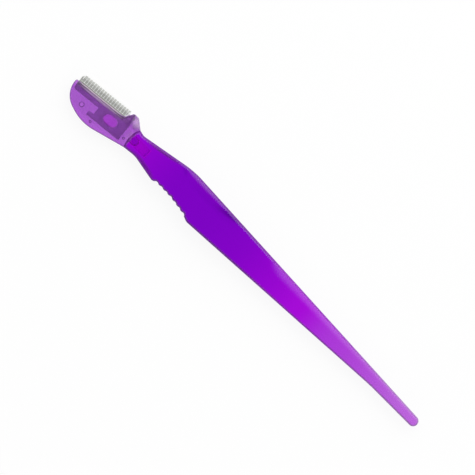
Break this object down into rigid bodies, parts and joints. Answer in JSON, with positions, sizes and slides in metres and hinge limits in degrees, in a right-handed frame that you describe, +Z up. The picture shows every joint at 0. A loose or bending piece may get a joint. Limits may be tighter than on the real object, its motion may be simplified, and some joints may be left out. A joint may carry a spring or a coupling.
{
  "type": "eyebrow razor",
  "caption": "Flat eyebrow razor: a slim tapering plastic handle with a ribbed finger recess and a push-fit head that clamps a straight steel blade behind a folded comb skin guard.",
  "frame": {"origin": "below the middle of the razor's length and width, on the surface that the handle's back lies on", "axes": "+X along the handle to its tail, +Y to the side of the cutting edge, +Z up, out of the front face"},
  "size_m": [0.1499, 0.0134, 0.0048],
  "materials": {
    "violet_plastic": "translucent moulded, polished",
    "lilac_plastic": "translucent moulded, thin, polished",
    "blade_steel": "ground strip",
    "guard_steel": "bright pressed sheet"
  },
  "bodies": {
    "handle": {"handle": "violet_plastic"},
    "head": {"head_base": "lilac_plastic", "head_cover": "lilac_plastic", "blade": "blade_steel", "skin_guard": "guard_steel"}
  },
  "joints": [
    {"name": "head_release", "type": "slide", "parent": "handle", "child": "head", "axis": [-1, 0, 0], "range_m": [0, 0.009]}
  ]
}
